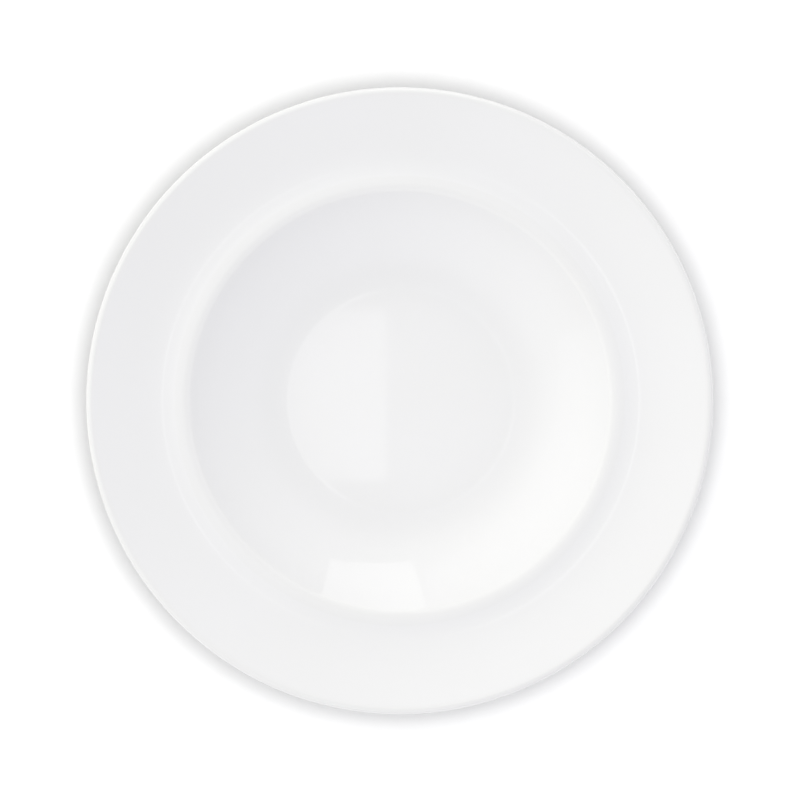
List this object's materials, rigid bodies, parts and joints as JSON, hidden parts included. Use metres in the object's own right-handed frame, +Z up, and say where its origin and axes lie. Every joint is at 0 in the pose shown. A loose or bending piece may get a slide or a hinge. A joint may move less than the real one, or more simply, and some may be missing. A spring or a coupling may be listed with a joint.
{
  "type": "rimmed soup plate",
  "caption": "Round rimmed soup plate in white glazed porcelain, with a deep flat-floored well, a raised shoulder, a wide dished rim with a rounded lip, and a bare foot ring.",
  "frame": {"origin": "centre of the foot ring's standing face, on the table", "axes": "+Z up along the plate's axis; the plate is turned, so +X and +Y are any two directions across it"},
  "size_m": [0.23, 0.23, 0.0321],
  "materials": {
    "bare_porcelain": "fired and smoothed, bare on the foot ring only",
    "white_glaze": "clear glossy glaze over white porcelain"
  },
  "bodies": {
    "root": {"porcelain_body": "bare_porcelain", "plate_glaze": "white_glaze", "recess_glaze": "white_glaze"}
  },
  "joints": []
}
